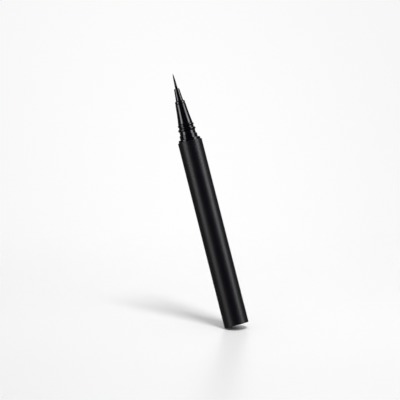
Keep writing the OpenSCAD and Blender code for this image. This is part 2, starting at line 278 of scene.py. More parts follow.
# %% Finish helpers
def start_finish(name):
    """A new material with an empty Principled BSDF that feeds its output."""
    material = bpy.data.materials.new(name)
    material.use_nodes = True
    tree = material.node_tree
    tree.nodes.clear()
    shader = add_node(tree, "BsdfPrincipled")
    output = add_node(tree, "OutputMaterial")
    tree.links.new(shader.outputs[0], output.inputs["Surface"])
    return material, tree, shader.inputs


def emboss(tree, shader, height, strength, depth):
    """Adds relief over any that a finish already has. The depth is in millimetres."""
    inputs = {"Height": height, "Strength": strength, "Distance": depth * MM}
    bump = add_node(tree, "Bump", inputs)
    if shader["Normal"].is_linked:
        feed(tree, bump.inputs["Normal"], shader["Normal"].links[0].from_socket)
    feed(tree, shader["Normal"], bump.outputs[0])


# %% [markdown]
# ## Shared effects
#
# - `fine_grain` is the fine texture of lacquer, moulded plastic or rubber, as a height for a Bump node.
# - `uneven_shine` makes a roughness that wanders a little, with rare finger smudges.
# - `rubbed_edges` finds outer edges, where handling polishes a surface first.
# - `mould_line` is the hair thin ridge where the two halves of a mould met.
# - `ink_marks` stains a piece with dried ink: soft pools and thin runs along the pen.
# - `long_fibres` are streaks along the pen, for filaments and bonded fibre, with a mask of painted shade.

# %% Grain and shine
fine_grain, given, result = start_group(
    "fine_grain", {"Scale": 9000.0, "Detail": 3.0}, {"Height": "Float"}
)
grain = object_noise(fine_grain, given["Scale"], given["Detail"])
feed(fine_grain, result["Height"], grain)

uneven_shine, given, result = start_group(
    "uneven_shine", {"Roughness": 0.4, "Wander": 0.05, "Smudges": 0.05, "Scale": 160.0},
    {"Roughness": "Float"},
)
clouds = object_noise(uneven_shine, given["Scale"], detail=4.0)
smudge_scale = calculate(uneven_shine, "MULTIPLY", given["Scale"], 0.6)
smudge = object_noise(uneven_shine, smudge_scale, distortion=1.4)
wander = spread(uneven_shine, clouds, 0.3, 0.7, -1.0, 1.0)
smudged = spread(uneven_shine, smudge, 0.58, 0.7)
rough = calculate(uneven_shine, "MULTIPLY", wander, given["Wander"])
rough = calculate(uneven_shine, "ADD", rough, given["Roughness"])
marks = calculate(uneven_shine, "MULTIPLY", smudged, given["Smudges"])
feed(uneven_shine, result["Roughness"], calculate(uneven_shine, "ADD", rough, marks))
print("groups:", fine_grain.name, uneven_shine.name)

# %% Edges and mould lines
rubbed_edges, given, result = start_group(
    "rubbed_edges", {"From": 0.52, "To": 0.62, "Patches": 900.0}, {"Mask": "Float"}
)
bend = add_node(rubbed_edges, "NewGeometry").outputs["Pointiness"]
patches = object_noise(rubbed_edges, given["Patches"], detail=4.0)
edge = spread(rubbed_edges, bend, given["From"], given["To"])
worn = spread(rubbed_edges, patches, 0.35, 0.65)
feed(rubbed_edges, result["Mask"], calculate(rubbed_edges, "MULTIPLY", edge, worn))

mould_line, given, result = start_group("mould_line", {"Half width": 0.05 * MM}, {"Height": "Float"})
where = add_node(mould_line, "TexCoord").outputs["Object"]
sideways = add_node(mould_line, "SeparateXYZ", {0: where}).outputs["Y"]
off_plane = calculate(mould_line, "ABSOLUTE", sideways)
feed(mould_line, result["Height"], spread(mould_line, off_plane, 0.0, given["Half width"], 1.0, 0.0))
print("groups:", rubbed_edges.name, mould_line.name)

# %% Ink marks
RUNS_SQUEEZE = 0.06
RUNS_WEIGHT = 0.6
DRY_THRESHOLD = 1.1
AMOUNT_WEIGHT = 0.6
STAIN_EDGE = 0.12
ink_marks, given, result = start_group(
    "ink_marks", {"Amount": 0.5, "Pools": 260.0, "Runs": 2200.0}, {"Mask": "Float"}
)
pools = object_noise(ink_marks, given["Pools"], detail=5.0)
runs = object_noise(ink_marks, given["Runs"], detail=3.0, squeeze=RUNS_SQUEEZE)
weak_runs = calculate(ink_marks, "MULTIPLY", runs, RUNS_WEIGHT)
pool = calculate(ink_marks, "ADD", pools, weak_runs)
wetter = calculate(ink_marks, "MULTIPLY", given["Amount"], AMOUNT_WEIGHT)
threshold = calculate(ink_marks, "SUBTRACT", DRY_THRESHOLD, wetter)
limit = calculate(ink_marks, "ADD", threshold, STAIN_EDGE)
feed(ink_marks, result["Mask"], spread(ink_marks, pool, threshold, limit))
print("group:", ink_marks.name)

# %% Streaks along the pen
long_fibres, given, result = start_group(
    "long_fibres", {"Across": 16000.0, "Stretch": 0.04}, {"Height": "Float", "Painted shading": "Float"}
)
streaks = object_noise(long_fibres, given["Across"], squeeze=given["Stretch"])
feed(long_fibres, result["Height"], streaks)
# The second output is painted shading: dark in the grooves between the streaks, lighter on their tops.
feed(long_fibres, result["Painted shading"], spread(long_fibres, streaks, 0.35, 0.65))
print("group:", long_fibres.name)


# %% Colour and shine
def colour_and_shine(tree, shader, mask, colour, masked_colour, shine, change=0.0):
    """Two colours told apart by a mask, and an uneven roughness that the mask may change."""
    feed(tree, shader["Base Color"], mix_colours(tree, mask, colour, masked_colour))
    rough = use_group(tree, uneven_shine, shine)["Roughness"]
    masked_change = calculate(tree, "MULTIPLY", mask, change)
    feed(tree, shader["Roughness"], calculate(tree, "ADD", rough, masked_change))


# %% [markdown]
# ## Black finishes
#
# All that shows of the pen is black, so its shape is read from the shine alone. The barrel has a satin
# lacquer that spreads the lamps into two soft bands. The front section and the nozzle are glossy
# mouldings on which the same lamps are narrow and bright. The colours are deep, with a trace of blue,
# because a grey that is a little too light would fill the dark stripe between the bands.
#
# The tail plug is a duller moulding, and the seals are rubber that the ink has darkened.

# %% Barrel lacquer
LACQUER = (0.0009, 0.0006, 0.0045, 1.0)
LACQUER_PALER = (0.0014, 0.001, 0.005, 1.0)
LACQUER_RUBBED = (0.007, 0.007, 0.008, 1.0)
LACQUER_SHINE = {"Roughness": 0.37, "Wander": 0.015, "Smudges": 0.02, "Scale": 130.0}
barrel_satin, tree, shader = start_finish("barrel_satin")
rub = use_group(tree, rubbed_edges, {"From": 0.55, "To": 0.68, "Patches": 1400.0})["Mask"]
lacquer = mix_colours(tree, object_noise(tree, scale=90.0), LACQUER, LACQUER_PALER)
colour_and_shine(tree, shader, rub, lacquer, LACQUER_RUBBED, LACQUER_SHINE, change=-0.1)
grain = use_group(tree, fine_grain, {"Scale": 7000.0, "Detail": 3.0})["Height"]
emboss(tree, shader, grain, strength=0.25, depth=0.012)
shader["Specular IOR Level"].default_value = 0.46
print("finish:", barrel_satin.name)

# %% Glossy mouldings
MOULDED = (0.0016, 0.0016, 0.0036, 1.0)
MOULDED_RUBBED = (0.004, 0.004, 0.0045, 1.0)
MOULDED_SHINE = {"Roughness": 0.14, "Wander": 0.015, "Smudges": 0.03, "Scale": 300.0}
front_gloss, tree, shader = start_finish("front_gloss")
rub = use_group(tree, rubbed_edges, {"From": 0.58, "To": 0.72, "Patches": 2000.0})["Mask"]
colour_and_shine(tree, shader, rub, MOULDED, MOULDED_RUBBED, MOULDED_SHINE)
line = use_group(tree, mould_line, {"Half width": 0.04 * MM})["Height"]
grain = use_group(tree, fine_grain, {"Scale": 800.0, "Detail": 1.0})["Height"]
emboss(tree, shader, line, strength=0.3, depth=0.01)
emboss(tree, shader, grain, strength=0.1, depth=0.01)
print("finish:", front_gloss.name)

# %% Tail plug plastic
PLUG = (0.011, 0.011, 0.012, 1.0)
PLUG_RUBBED = (0.03, 0.03, 0.031, 1.0)
PLUG_SHINE = {"Roughness": 0.5, "Wander": 0.05, "Smudges": 0.05, "Scale": 240.0}
plug_black, tree, shader = start_finish("plug_black")
rub = use_group(tree, rubbed_edges)["Mask"]
colour_and_shine(tree, shader, rub, PLUG, PLUG_RUBBED, PLUG_SHINE)
grain = use_group(tree, fine_grain, {"Scale": 5200.0, "Detail": 4.0})["Height"]
emboss(tree, shader, grain, strength=0.5, depth=0.03)
print("finish:", plug_black.name)

# %% Rubber
RUBBER = (0.022, 0.022, 0.023, 1.0)
RUBBER_INKED = (0.004, 0.004, 0.005, 1.0)
RUBBER_SHINE = {"Roughness": 0.62, "Wander": 0.08, "Smudges": -0.2, "Scale": 500.0}
seal_rubber, tree, shader = start_finish("seal_rubber")
wet = use_group(tree, ink_marks, {"Amount": 0.6, "Pools": 600.0})["Mask"]
colour_and_shine(tree, shader, wet, RUBBER, RUBBER_INKED, RUBBER_SHINE)
line = use_group(tree, mould_line, {"Half width": 0.03 * MM})["Height"]
emboss(tree, shader, line, strength=0.6, depth=0.02)
print("finish:", seal_rubber.name)

# %% [markdown]
# ## Finishes inside the pen
# On the core and the brush, the grooves between the fibres are painted in shade and their tops are painted
# lighter.
#
# Inside, the plastics are natural, which means that they have no colour of their own: the tank is milky,
# the tube is clear, the plug and the collector are off white. All of them have met the ink. The ball is
# polished steel with a film of ink, and the fibre core is soaked. The fibres of the brush are finer and
# black.
#
# Stains could be painted on an image, but then each piece would have to be unwrapped first. Noise in
# space needs no unwrapping, and fits pieces of any shape.

# %% Natural plastics
INK = (0.006, 0.006, 0.008, 1.0)
MILKY = (0.74, 0.77, 0.77, 1.0)
OFF_WHITE = (0.78, 0.76, 0.71, 1.0)
BONE_WHITE = (0.72, 0.70, 0.64, 1.0)


def natural_plastic(name, colour, roughness, amount, pools):
    """Unpigmented plastic, stained by ink, with the texture of its mould."""
    material, tree, shader = start_finish(name)
    shine = {"Roughness": roughness, "Wander": 0.06, "Smudges": 0.05, "Scale": 320.0}
    stain = use_group(tree, ink_marks, {"Amount": amount, "Pools": pools})["Mask"]
    colour_and_shine(tree, shader, stain, colour, INK, shine, change=-0.2)
    grain = use_group(tree, fine_grain, {"Scale": 4200.0, "Detail": 3.0})["Height"]
    line = use_group(tree, mould_line)["Height"]
    emboss(tree, shader, line, strength=0.5, depth=0.01)
    emboss(tree, shader, grain, strength=0.3, depth=0.02)
    return material, shader


tank_natural, shader = natural_plastic("tank_natural", MILKY, 0.32, 0.55, 120.0)
shader["Subsurface Weight"].default_value = 0.3
shader["Subsurface Radius"].default_value = (0.0008, 0.0009, 0.001)
shader["Transmission Weight"].default_value = 0.35
plug_natural, shader = natural_plastic("plug_natural", OFF_WHITE, 0.48, 0.7, 420.0)
shader["Subsurface Weight"].default_value = 0.15
shader["Subsurface Radius"].default_value = (0.0006, 0.0005, 0.0004)
collector_natural, shader = natural_plastic("collector_natural", BONE_WHITE, 0.4, 0.85, 500.0)
shader["Subsurface Weight"].default_value = 0.1
shader["Subsurface Radius"].default_value = (0.0004, 0.0004, 0.0003)
print("finishes:", tank_natural.name, plug_natural.name, collector_natural.name)

# %% Clear tube
CLEAR = (0.86, 0.89, 0.9, 1.0)
CLEAR_SHINE = {"Roughness": 0.12, "Wander": 0.03, "Smudges": 0.1, "Scale": 700.0}
tube_clear, tree, shader = start_finish("tube_clear")
stain = use_group(tree, ink_marks, {"Amount": 0.45, "Pools": 700.0})["Mask"]
colour_and_shine(tree, shader, stain, CLEAR, INK, CLEAR_SHINE)
drawn = use_group(tree, long_fibres, {"Across": 5000.0, "Stretch": 0.02})["Height"]
emboss(tree, shader, drawn, strength=0.2, depth=0.006)
shader["Transmission Weight"].default_value = 0.75
print("finish:", tube_clear.name)

# %% Polished steel
STEEL = (0.62, 0.63, 0.64, 1.0)
STEEL_INKED = (0.02, 0.02, 0.024, 1.0)
STEEL_SHINE = {"Roughness": 0.12, "Wander": 0.04, "Smudges": 0.15, "Scale": 900.0}
ball_steel, tree, shader = start_finish("ball_steel")
film = use_group(tree, ink_marks, {"Amount": 0.45, "Pools": 900.0})["Mask"]
colour_and_shine(tree, shader, film, STEEL, STEEL_INKED, STEEL_SHINE)
feed(tree, shader["Metallic"], spread(tree, film, 0.0, 1.0, 1.0, 0.0))
lapped = use_group(tree, fine_grain, {"Scale": 12000.0, "Detail": 2.0})["Height"]
emboss(tree, shader, lapped, strength=0.15, depth=0.004)
print("finish:", ball_steel.name)

# %% Fibres
# Each pair is a painted shade for the grooves between fibres and a lighter colour for their lit tops.
CORE_SHADED = (0.02, 0.02, 0.024, 1.0)
CORE_LIT = (0.2, 0.2, 0.21, 1.0)
BRUSH_SHADED = (0.002, 0.002, 0.002, 1.0)
BRUSH_LIT = (0.006, 0.006, 0.007, 1.0)
ROOT_SHADED = (0.006, 0.006, 0.007, 1.0)
ROOT_LIT = (0.02, 0.02, 0.021, 1.0)


def fibre_finish(name, dark, light, roughness, across):
    """Fibres that run along the pen, with painted shade between them and a painted highlight on their
    tops.
    """
    material, tree, shader = start_finish(name)
    fibres = use_group(tree, long_fibres, {"Across": across, "Stretch": 0.03})
    shine = {"Roughness": roughness, "Wander": 0.08, "Smudges": -0.08, "Scale": 1500.0}
    colour_and_shine(tree, shader, fibres["Painted shading"], dark, light, shine)
    emboss(tree, shader, fibres["Height"], strength=0.5, depth=0.01)
    return material


core_fibre = fibre_finish("core_fibre", CORE_SHADED, CORE_LIT, 0.7, 14000.0)
brush_fibre = fibre_finish("brush_fibre", BRUSH_SHADED, BRUSH_LIT, 0.4, 30000.0)
brush_root_fused = fibre_finish("brush_root", ROOT_SHADED, ROOT_LIT, 0.5, 24000.0)
print("finishes:", core_fibre.name, brush_fibre.name, brush_root_fused.name)

# %% [markdown]
# ## Heights and radii
#
# The CAD boxes give the ends of each piece, so the turned pieces land exactly on them. What a box can't
# say, such as the depth of a groove, is a named value with the size that the CAD source has. The
# softest forms, such as drafts and fine edges, are in this file alone.

# %% Read the CAD boxes
def span(node):
    """Bottom, top and radius of a CAD node, in millimetres."""
    low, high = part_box(node)
    return low.z / MM, high.z / MM, high.x / MM


foot, rim, foot_r = span("barrel")
plug_back, plug_end, snap_r = span("tail_plug")
spigot_end, cone_top, lip_r = span("front_section")
nozzle_end, mouth, ring_r = span("nozzle")
brush_back, tip, brush_r = span("brush")
tank_back, tank_top, tank_r = span("ink_tank")
heights = {"rim": rim, "cone top": cone_top, "mouth": mouth, "tip": tip}
print("heights in mm:", {place: round(z, 2) for place, z in heights.items()})

# %% [markdown]
# ## Barrel
#
# The barrel is a long thin tube that is a little slimmer at the front, because a moulding needs draft to
# leave its mould. Its only details are the soft edges at both ends and the groove inside the foot into
# which the tail plug snaps. Those edges catch the light, so they are rounded rather than cut.

# %% Turn the barrel
RIM_R = 5.2
BORE_R = 4.5
FOOT_EDGE = 0.24
RIM_EDGE = 0.22
BORE_EDGE = 0.08
SNAP_GROOVE_R = 4.62
SNAP_GROOVE_WALLS = (1.06, 0.54)
SNAP_GROOVE_FLOOR = (0.97, 0.63)
ROUND_STEPS = 128
outline = start_outline(BORE_R, foot)
line_to(outline, foot_r, foot, FOOT_EDGE)
line_to(outline, RIM_R, rim, RIM_EDGE)
line_to(outline, BORE_R, rim, BORE_EDGE)
line_to(outline, BORE_R, SNAP_GROOVE_WALLS[0])
line_to(outline, SNAP_GROOVE_R, SNAP_GROOVE_FLOOR[0])
line_to(outline, SNAP_GROOVE_R, SNAP_GROOVE_FLOOR[1])
line_to(outline, BORE_R, SNAP_GROOVE_WALLS[1])
barrel_skin = turn_outline(outline, closed=True, steps=ROUND_STEPS)
barrel = finish_piece("barrel_shell", barrel_skin, barrel_satin, stands_for="barrel")

# %% [markdown]
# ## Tail plug
#
# The plug closes the foot. From below it shows a flat disc with the shallow mark of the gate, where the
# plastic entered the mould. Inside, its spigot carries a seal ring, and the hole in its end is the seat
# of the mixing ball. Booleans could cut all this into a plain plug, but a turned outline rounds the
# edges as well.

# %% Sizes of the tail plug
SPIGOT_R = 3.72
SEAL_GROOVE_R = 3.04
SEAL_BACK = 3
SEAL_HALF = 0.45
BALL_SEAT_R = 1.575
BALL_SEAT_FLOOR = 3.5
GATE_R = 0.45
GATE_DEPTH = 0.12
DIMPLE_R = 1.2
DIMPLE_DEPTH = 0.25
SNAP_RIDGE_FEET = (0.55, 1.05)
SNAP_RIDGE_TOP = (0.67, 0.93)
FINE_EDGE = 0.05
GROOVE_EDGE = 0.08
HEAD_EDGE = 0.15
HEAD_TOP_EDGE = 0.06
SPIGOT_EDGE = 0.3
SMALL_ROUND_STEPS = 96
seal_z = tank_back + SEAL_BACK
print("tail seal at", round(seal_z, 2), "floor of the ball seat at", BALL_SEAT_FLOOR)


# %% Turn the tail plug
def seal_groove(outline, middle):
    """A groove round a spigot for a rubber ring."""
    line_to(outline, SPIGOT_R, middle - SEAL_HALF, FINE_EDGE)
    line_to(outline, SEAL_GROOVE_R, middle - SEAL_HALF, GROOVE_EDGE)
    line_to(outline, SEAL_GROOVE_R, middle + SEAL_HALF, GROOVE_EDGE)
    line_to(outline, SPIGOT_R, middle + SEAL_HALF, FINE_EDGE)


outline = start_outline(0, plug_back + GATE_DEPTH)
line_to(outline, GATE_R, plug_back + GATE_DEPTH, FINE_EDGE)
line_to(outline, GATE_R, plug_back + DIMPLE_DEPTH)
line_to(outline, DIMPLE_R, plug_back + DIMPLE_DEPTH, FINE_EDGE)
line_to(outline, DIMPLE_R, plug_back, FINE_EDGE)
line_to(outline, tank_r, plug_back, HEAD_EDGE)
line_to(outline, tank_r, SNAP_RIDGE_FEET[0])
line_to(outline, snap_r, SNAP_RIDGE_TOP[0], FINE_EDGE)
line_to(outline, snap_r, SNAP_RIDGE_TOP[1], FINE_EDGE)
line_to(outline, tank_r, SNAP_RIDGE_FEET[1])
line_to(outline, tank_r, tank_back, HEAD_TOP_EDGE)
line_to(outline, SPIGOT_R, tank_back)
seal_groove(outline, seal_z)
line_to(outline, SPIGOT_R, plug_end, SPIGOT_EDGE)
line_to(outline, BALL_SEAT_R, plug_end, FINE_EDGE)
line_to(outline, BALL_SEAT_R, BALL_SEAT_FLOOR, SPIGOT_EDGE)
line_to(outline, 0, BALL_SEAT_FLOOR)
plug_skin = turn_outline(outline, closed=False, steps=SMALL_ROUND_STEPS)
finish_piece("tail_plug_turned", plug_skin, plug_black, stands_for="tail_plug")

# %% [markdown]
# ## Front section
#
# One moulding does many jobs: the skirt sits in the barrel, the lip rests on the barrel's rim, the cap is
# pushed onto the collar and snaps over the beads, and the cone holds the nozzle.
#
# The beads and the hollows beside them are arcs that run into each other, because each part of an arc
# mirrors another height of the lamps and draws its own small line of light. The neck below them has a
# little draft. The side of the cone curves in slightly, so its highlights narrow towards the top, and the
# chamfer at its end makes the dark line under the nozzle's ring.

# %% Sizes of the front section
COLLECTOR_BORE_R = 2.64
LIP_H = 1.05
COLLAR_R = 3.82
COLLAR_H = 1.8
NECK_R = 3.45
NECK_TOP_R = 3.37
NECK_H = 2.15
NECK_FILLET = 0.3
LOW_BEAD_CENTRE_R = 3.2
LOW_BEAD_R = 0.6
GROOVE_R = 3.18
GROOVE_FILLET = 0.6657
BEAD_PITCH = 1.9
HIGH_BEAD_CENTRE_R = 2.81
HIGH_BEAD_R = 0.65
CONE_BASE_R = 3.12
CONE_STEP = 1.0
CONE_TOP_R = 2.23
CONE_FLARE = 0.1
CONE_CHAMFER = 0.3
NOZZLE_SOCKET_R = 1.74
TUBE_SOCKET_R = 1.14
HOLLOW_R = 2.12
SHOULDER_DROP = 0.8
SKIRT_END_EDGE = 0.2
SHOULDER_EDGE = 0.15
LIP_EDGE = 0.3
COLLAR_EDGE = 0.18
NECK_FOOT_EDGE = 0.1
lip_top = rim + LIP_H
collar_top = lip_top + COLLAR_H
low_bead = (LOW_BEAD_CENTRE_R, collar_top + NECK_H, LOW_BEAD_R)
high_bead = (HIGH_BEAD_CENTRE_R, collar_top + NECK_H + BEAD_PITCH, HIGH_BEAD_R)
cone_foot = high_bead[1] + CONE_STEP
seal_z = tank_top - SEAL_BACK
print("beads at", round(low_bead[1], 2), round(high_bead[1], 2), "cone foot at", round(cone_foot, 2))


# %% Arcs that touch, and bowed sides
# A bead or a hollow is given by the radius and height of its centre and by its own radius.
def bead_height(bead, r):
    """How far above or below its middle a bead's arc crosses a radius."""
    centre_r, middle, bead_r = bead
    return math.sqrt(bead_r ** 2 - (r - centre_r) ** 2)


def fillet_drop(bead, wall_r, fillet_r):
    """How far along the pen a fillet on a wall has its centre from the bead that it touches."""
    return math.sqrt((bead[2] + fillet_r) ** 2 - (wall_r + fillet_r - bead[0]) ** 2)


def meeting_point(first, second):
    """Where two arcs that touch each other meet."""
    share = first[2] / (first[2] + second[2])
    return first[0] + (second[0] - first[0]) * share, first[1] + (second[1] - first[1]) * share


def arc_until(outline, arc, following, steps):
    """Follows one arc up to where it meets the next."""
    r, z = meeting_point(arc, following)
    arc_to(outline, r, z, arc[0], arc[1], steps)


def bowed_side(r, z, side, bow):
    """Centre and radius of a side that bows inwards, or outwards if the bow is negative."""
    arc_r = ((side.length / 2) ** 2 + bow ** 2) / (2 * bow)
    outward = Vector((side.y, -side.x)).normalized()
    return Vector((r, z)) + side / 2 + outward * (arc_r - bow), abs(arc_r)


# %% Turn the front section
fillet_z = low_bead[1] - fillet_drop(low_bead, NECK_TOP_R, NECK_FILLET)
fillet = (NECK_TOP_R + NECK_FILLET, fillet_z, NECK_FILLET)
groove_z = high_bead[1] - fillet_drop(high_bead, GROOVE_R, GROOVE_FILLET)
groove = (GROOVE_R + GROOVE_FILLET, groove_z, GROOVE_FILLET)
outline = start_outline(COLLECTOR_BORE_R, spigot_end)
line_to(outline, SPIGOT_R, spigot_end, SKIRT_END_EDGE)
seal_groove(outline, seal_z)
line_to(outline, SPIGOT_R, tank_top)
line_to(outline, tank_r, tank_top, SHOULDER_EDGE)
line_to(outline, tank_r, rim)
line_to(outline, lip_r, rim, FINE_EDGE)
line_to(outline, lip_r, lip_top, LIP_EDGE)
line_to(outline, COLLAR_R, lip_top, GROOVE_EDGE)
line_to(outline, COLLAR_R, collar_top, COLLAR_EDGE)
line_to(outline, NECK_R, collar_top, NECK_FOOT_EDGE)
line_to(outline, NECK_TOP_R, fillet_z)
arc_until(outline, fillet, low_bead, steps=6)
arc_until(outline, low_bead, groove, steps=12)
arc_until(outline, groove, high_bead, steps=12)
high_end = high_bead[1] + bead_height(high_bead, CONE_BASE_R)
arc_to(outline, CONE_BASE_R, high_end, high_bead[0], high_bead[1], steps=10)
line_to(outline, CONE_BASE_R, cone_foot)
side = Vector((CONE_TOP_R - CONE_BASE_R, cone_top - cone_foot))
flare_centre, flare_r = bowed_side(CONE_BASE_R, cone_foot, side, CONE_FLARE)
chamfer_z = cone_top - CONE_CHAMFER
chamfer_r = flare_centre.x - math.sqrt(flare_r ** 2 - (chamfer_z - flare_centre.y) ** 2)
arc_to(outline, chamfer_r, chamfer_z, flare_centre.x, flare_centre.y, steps=14)
line_to(outline, CONE_TOP_R - CONE_CHAMFER, cone_top)
line_to(outline, NOZZLE_SOCKET_R, cone_top)
line_to(outline, NOZZLE_SOCKET_R, nozzle_end)
line_to(outline, TUBE_SOCKET_R, nozzle_end)
line_to(outline, TUBE_SOCKET_R, cone_foot)
line_to(outline, HOLLOW_R, cone_foot)
line_to(outline, HOLLOW_R, rim - SHOULDER_DROP)
line_to(outline, COLLECTOR_BORE_R, rim - SHOULDER_DROP)
front_skin = turn_outline(outline, closed=True, steps=ROUND_STEPS)
finish_piece("front_moulding", front_skin, front_gloss, stands_for="front_section")

# %% [markdown]
# ## Nozzle
#
# The nozzle is pushed into the cone. Its ring closes the cone: it is drafted and bows out by a hair, and
# a chamfer sets it off from the tube. The thin tube narrows to a full round at the mouth, so that it
# doesn't scratch the skin. The brush comes out of the hole in the middle.

# %% Sizes of the nozzle
NOZZLE_SPIGOT_R = 1.7
NOZZLE_SPIGOT_EDGE = 0.15
RING_H = 1.2
RING_FOOT_EDGE = 0.06
RING_CHAMFER = 0.3
RING_DRAFT = 0.08
RING_CROWN = 0.008
CHAMFER_EDGE = 0.03
NOZZLE_BASE_R = 1.6
MOUTH_R = 1.15
BRUSH_BORE_R = 0.64
ROOT_SEAT_DROP = 2.2
ring_top = cone_top + RING_H
root_seat = cone_top - ROOT_SEAT_DROP
print("ring from", round(cone_top, 2), "to", round(ring_top, 2), "brush root at", round(root_seat, 2))

# %% Turn the nozzle
mouth_round = (MOUTH_R - BRUSH_BORE_R) / 2
mouth_low = mouth - mouth_round
round_r = MOUTH_R - mouth_round
foot_corner_r = ring_r - RING_FOOT_EDGE
foot_corner_z = cone_top + RING_FOOT_EDGE
outline = start_outline(TUBE_SOCKET_R, nozzle_end)
line_to(outline, NOZZLE_SPIGOT_R, nozzle_end, NOZZLE_SPIGOT_EDGE)
line_to(outline, NOZZLE_SPIGOT_R, cone_top)
line_to(outline, foot_corner_r, cone_top)
arc_to(outline, ring_r, foot_corner_z, foot_corner_r, foot_corner_z, steps=4)
shoulder_r = ring_r - RING_DRAFT
side = Vector((-RING_DRAFT, RING_H - RING_FOOT_EDGE - RING_CHAMFER))
crown_centre = bowed_side(ring_r, foot_corner_z, side, -RING_CROWN)[0]
arc_to(outline, shoulder_r, ring_top - RING_CHAMFER, crown_centre.x, crown_centre.y, steps=6)
line_to(outline, shoulder_r - RING_CHAMFER, ring_top, CHAMFER_EDGE)
line_to(outline, NOZZLE_BASE_R, ring_top, FINE_EDGE)
line_to(outline, MOUTH_R, mouth_low)
arc_to(outline, round_r, mouth, round_r, mouth_low, steps=8)
arc_to(outline, BRUSH_BORE_R, mouth_low, round_r, mouth_low, steps=8)
line_to(outline, BRUSH_BORE_R, root_seat)
line_to(outline, TUBE_SOCKET_R, root_seat)
nozzle_skin = turn_outline(outline, closed=True, steps=SMALL_ROUND_STEPS)
finish_piece("nozzle_turned", nozzle_skin, front_gloss, stands_for="nozzle")

# %% [markdown]
# ## Brush
#
# The brush is a bundle of a few hundred filaments. Each one tapers to a point, slowly at first, and the
# outer ones are shorter, so damp with ink they draw together into a needle. A hair system could make them,
# but it would not survive an export, so each filament is a small prism: it is cut across at a few heights,
# and its rings are then narrowed and pulled towards the axis.
#
# They stand in a round bundle of staggered rows, and the seeded random numbers keep every run the same.

# %% Lay out the bundle
FILAMENT_GAP = 0.052
FILAMENT_R = 0.0265
BUNDLE_PLAY = 0.003
PLACE_SCATTER = 0.1
chance = random.Random(7)


def bundle_places(bundle_r, gap):
    """Centres of the filaments: staggered rows inside a circle, each a little out of place."""
    rows = math.ceil(bundle_r / (gap * math.sqrt(0.75)))
    places = []
    for row in range(-rows, rows + 1):
        for column in range(-rows - 1, rows + 2):
            x = (column + 0.5 * (row % 2)) * gap
            y = row * gap * math.sqrt(0.75)
            if math.hypot(x, y) <= bundle_r:
                moved_x = x + chance.uniform(-PLACE_SCATTER, PLACE_SCATTER) * gap
                moved_y = y + chance.uniform(-PLACE_SCATTER, PLACE_SCATTER) * gap
                places.append((moved_x, moved_y))
    return places


places = bundle_places(brush_r - FILAMENT_R - BUNDLE_PLAY, FILAMENT_GAP)
print("filaments:", len(places))

# %% Shape the filaments
STRAND_SINK = 0.1
FILAMENT_SIDES = 5
GATHER = 0.54
SHORTER = 0.3
SHORTER_POWER = 2.6
LENGTH_SCATTER = 0.04
SWAY = 0.008
TAPER_START = 0.3
TAPER_POWER = 2
TAPER_RINGS = (0.3, 0.6, 0.76, 0.9)
POINT_WIDTH = 0.12
LEAST_SQUEEZE = 0.75
CUT_REACH = 0.00001 * MM
slice_top = mouth - STRAND_SINK


def add_filament(bundle, x, y):
    """One prism, cut at the taper rings, then narrowed, bent and pointed."""
    share = math.hypot(x, y) / brush_r
    reach = 1 - SHORTER * share ** SHORTER_POWER - chance.uniform(0, LENGTH_SCATTER) * share
    full = tip - slice_top
    length = full * reach
    middle = Matrix.Translation(Vector((x, y, slice_top + length / 2)) * MM)
    turned = middle @ Matrix.Rotation(chance.uniform(0, math.tau), 4, "Z")
    prism = bmesh.ops.create_cone(
        bundle, cap_ends=True, segments=FILAMENT_SIDES, radius1=FILAMENT_R * MM,
        radius2=FILAMENT_R * MM, depth=length * MM, matrix=turned,
    )
    points = list(prism["verts"])
    for ring in TAPER_RINGS:
        edges = {edge for point in points for edge in point.link_edges}
        faces = {face for point in points for face in point.link_faces}
        height = (slice_top + length * ring) * MM
        cut = bmesh.ops.bisect_plane(
            bundle, geom=points + list(edges) + list(faces), dist=CUT_REACH,
            plane_co=(0, 0, height), plane_no=(0, 0, 1),
        )
        points += [part for part in cut["geom_cut"] if isinstance(part, bmesh.types.BMVert)]
    sway = Vector((chance.uniform(-1, 1), chance.uniform(-1, 1), 0)) * SWAY * MM
    foot_point = Vector((x, y, 0)) * MM
    for point in points:
        along = (point.co.z / MM - slice_top) / length
        drawn_in = 1 - GATHER * along * reach
        tapered = max(0, along - TAPER_START) / (1 - TAPER_START)
        width = max(POINT_WIDTH, 1 - tapered ** TAPER_POWER)
        side_step = Vector((point.co.x, point.co.y, 0)) - foot_point
        bend = sway * math.sin(math.pi * along)
        moved = foot_point * drawn_in + side_step * width * max(drawn_in, LEAST_SQUEEZE) + bend
        point.co = (moved.x, moved.y, point.co.z)


# %% Make the brush
ROOT_OVERLAP = 0.02
bundle = bmesh.new()
for x, y in places:
    add_filament(bundle, x, y)
bmesh.ops.create_cone(
    bundle, cap_ends=True, segments=48, radius1=brush_r * MM, radius2=brush_r * MM,
    depth=(slice_top - brush_back + ROOT_OVERLAP) * MM,
    matrix=Matrix.Translation((0, 0, (slice_top + brush_back + ROOT_OVERLAP) / 2 * MM)),
)
finish_piece("brush_bundle", bundle, brush_fibre, stands_for="brush")

# %% [markdown]
# ## Pieces inside the barrel
#
# Their CAD shapes are right, so they stay, and only their finish is changed. The CAD mesh isn't edited,
# only its material slots are filled.

# %% Dress the CAD pieces
inside = {
    "tail_seal": seal_rubber, "front_seal": seal_rubber, "ink_tank": tank_natural,
    "mixing_ball": ball_steel, "inner_plug": plug_natural, "collector": collector_natural,
    "feed_core": core_fibre, "feed_tube": tube_clear, "brush_root": brush_root_fused,
}
for name, material in inside.items():
    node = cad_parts[name]
    node.data.materials.clear()
    node.data.materials.append(material)
print("dressed:", ", ".join(inside))

